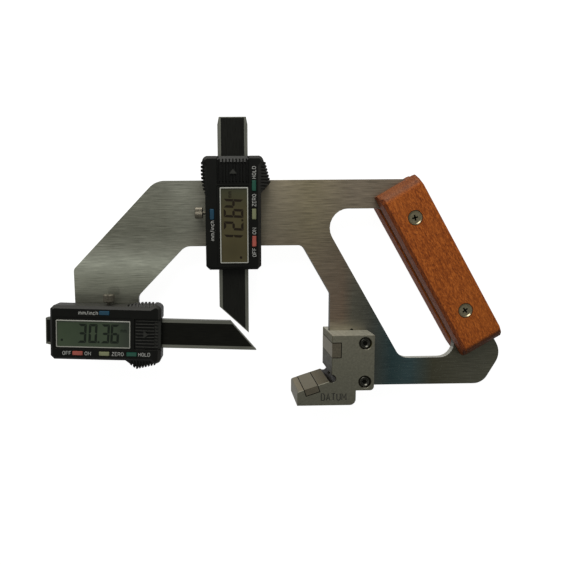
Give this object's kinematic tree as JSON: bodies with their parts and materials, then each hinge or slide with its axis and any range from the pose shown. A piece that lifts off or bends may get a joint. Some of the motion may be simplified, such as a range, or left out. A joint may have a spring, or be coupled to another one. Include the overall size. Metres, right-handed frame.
{
  "type": "rail wear gauge",
  "caption": "Bent steel plate gauge with a wooden handle, a hooked datum block and two digital calipers that slide to measure side and top wear.",
  "frame": {"origin": "centre of the bounding box at its lowest face, the gauge lying on its back with the displays up", "axes": "+X along the bar from the side caliper to the handle, +Y towards the free end of the depth beam, +Z out of the display faces"},
  "size_m": [0.2564, 0.1557, 0.0297],
  "materials": {
    "plate_steel": "ground and lightly brushed along the bar, oiled grey-olive tone",
    "block_steel": "ground tool steel, satin",
    "carbide": "fine ground hard insert, slightly brown",
    "beam_steel": "fine ground stainless steel",
    "screw_steel": "plain steel screws",
    "dark_screw": "blackened steel socket screws",
    "yellow_zinc": "yellow zinc plated, worn",
    "nickel": "nickel plated, knurled on the lock screws",
    "brass": "plain brass",
    "cast_frame": "black painted zinc casting",
    "black_plastic": "moulded ABS, fine satin texture",
    "bezel_silver": "thin silver rim",
    "lcd_glass": "olive reflective liquid crystal display under a clear window",
    "circuit_board": "green solder mask",
    "scale_black": "black printed scale film",
    "wood": "oiled reddish hardwood, open pores",
    "button_red": "soft satin",
    "button_yellow": "soft satin",
    "button_green": "soft satin",
    "button_blue": "soft satin"
  },
  "bodies": {
    "gauge_frame": {"frame_plate": "plate_steel", "datum_block": "block_steel", "datum_insert_side": "carbide", "datum_insert_under": "carbide", "block_screw_upper": "dark_screw", "block_screw_lower": "dark_screw", "handle_scale_front": "wood", "handle_scale_rear": "wood", "handle_screw_upper": "yellow_zinc", "handle_screw_lower": "yellow_zinc", "handle_nut_upper": "yellow_zinc", "handle_nut_lower": "yellow_zinc", "side_slider_frame": "cast_frame", "side_mount_screw_inner": "screw_steel", "side_mount_screw_outer": "screw_steel", "side_housing": "black_plastic", "side_housing_screw_inner": "screw_steel", "side_housing_screw_outer": "screw_steel", "side_circuit_board": "circuit_board", "side_lcd_bezel": "bezel_silver", "side_lcd_glass": "lcd_glass", "side_battery_cell": "nickel", "side_battery_clip": "brass", "side_gib_strip": "brass", "depth_slider_frame": "cast_frame", "depth_mount_screw_inner": "screw_steel", "depth_mount_screw_outer": "screw_steel", "depth_housing": "black_plastic", "depth_housing_screw_inner": "screw_steel", "depth_housing_screw_outer": "screw_steel", "depth_circuit_board": "circuit_board", "depth_lcd_bezel": "bezel_silver", "depth_lcd_glass": "lcd_glass", "depth_battery_cell": "nickel", "depth_battery_clip": "brass", "depth_gib_strip": "brass"},
    "side_measuring_beam": {"side_beam": "beam_steel", "side_scale_strip": "scale_black"},
    "side_lock_pad": {"side_lock_pad": "brass"},
    "side_lock_screw": {"side_lock_screw": "nickel"},
    "side_button_power": {"side_button_power": "button_red"},
    "side_button_zero": {"side_button_zero": "button_yellow"},
    "side_button_hold": {"side_button_hold": "button_green"},
    "side_button_units": {"side_button_units": "button_blue"},
    "side_battery_cover": {"side_battery_cover": "black_plastic"},
    "depth_measuring_beam": {"depth_beam": "beam_steel", "depth_scale_strip": "scale_black"},
    "depth_lock_pad": {"depth_lock_pad": "brass"},
    "depth_lock_screw": {"depth_lock_screw": "nickel"},
    "depth_button_power": {"depth_button_power": "button_red"},
    "depth_button_zero": {"depth_button_zero": "button_yellow"},
    "depth_button_hold": {"depth_button_hold": "button_green"},
    "depth_button_units": {"depth_button_units": "button_blue"},
    "depth_battery_cover": {"depth_battery_cover": "black_plastic"}
  },
  "joints": [
    {"name": "side_beam_slide", "type": "slide", "parent": "gauge_frame", "child": "side_measuring_beam", "axis": [0.9993, -0.0379, 0], "range_m": [-0.04, 0.001]},
    {"name": "side_lock_travel", "type": "slide", "parent": "gauge_frame", "child": "side_lock_pad", "axis": [0.0379, 0.9993, 0], "range_m": [-0.0004, 0.0004]},
    {"name": "side_lock_turn", "type": "hinge", "parent": "side_lock_pad", "child": "side_lock_screw", "pos_m": [-0.09326, -0.01862, 0.02085], "axis": [0.0379, 0.9993, 0], "range_deg": [-360, 360]},
    {"name": "side_power_press", "type": "slide", "parent": "gauge_frame", "child": "side_button_power", "axis": [0, 0, 1], "range_m": [-0.0005, 0], "stiffness_N_per_m": 400, "springref_m": 0.0005},
    {"name": "side_zero_press", "type": "slide", "parent": "gauge_frame", "child": "side_button_zero", "axis": [0, 0, 1], "range_m": [-0.0005, 0], "stiffness_N_per_m": 400, "springref_m": 0.0005},
    {"name": "side_hold_press", "type": "slide", "parent": "gauge_frame", "child": "side_button_hold", "axis": [0, 0, 1], "range_m": [-0.0005, 0], "stiffness_N_per_m": 400, "springref_m": 0.0005},
    {"name": "side_units_press", "type": "slide", "parent": "gauge_frame", "child": "side_button_units", "axis": [0, 0, 1], "range_m": [-0.0005, 0], "stiffness_N_per_m": 400, "springref_m": 0.0005},
    {"name": "side_cover_slide", "type": "slide", "parent": "gauge_frame", "child": "side_battery_cover", "axis": [0.9993, -0.0379, 0], "range_m": [0, 0.018]},
    {"name": "depth_beam_slide", "type": "slide", "parent": "gauge_frame", "child": "depth_measuring_beam", "axis": [0, 1, 0], "range_m": [-0.001, 0.024]},
    {"name": "depth_lock_travel", "type": "slide", "parent": "gauge_frame", "child": "depth_lock_pad", "axis": [-1, 0, 0], "range_m": [-0.0004, 0.0004]},
    {"name": "depth_lock_turn", "type": "hinge", "parent": "depth_lock_pad", "child": "depth_lock_screw", "pos_m": [-0.04248, 0.02788, 0.02085], "axis": [-1, 0, 0], "range_deg": [-360, 360]},
    {"name": "depth_power_press", "type": "slide", "parent": "gauge_frame", "child": "depth_button_power", "axis": [0, 0, 1], "range_m": [-0.0005, 0], "stiffness_N_per_m": 400, "springref_m": 0.0005},
    {"name": "depth_zero_press", "type": "slide", "parent": "gauge_frame", "child": "depth_button_zero", "axis": [0, 0, 1], "range_m": [-0.0005, 0], "stiffness_N_per_m": 400, "springref_m": 0.0005},
    {"name": "depth_hold_press", "type": "slide", "parent": "gauge_frame", "child": "depth_button_hold", "axis": [0, 0, 1], "range_m": [-0.0005, 0], "stiffness_N_per_m": 400, "springref_m": 0.0005},
    {"name": "depth_units_press", "type": "slide", "parent": "gauge_frame", "child": "depth_button_units", "axis": [0, 0, 1], "range_m": [-0.0005, 0], "stiffness_N_per_m": 400, "springref_m": 0.0005},
    {"name": "depth_cover_slide", "type": "slide", "parent": "gauge_frame", "child": "depth_battery_cover", "axis": [0, 1, 0], "range_m": [0, 0.018]}
  ],
  "couplings": [
    {"joint": "side_lock_turn", "follows": "side_lock_travel", "rad_per_m": 15708},
    {"joint": "depth_lock_turn", "follows": "depth_lock_travel", "rad_per_m": 15708}
  ]
}
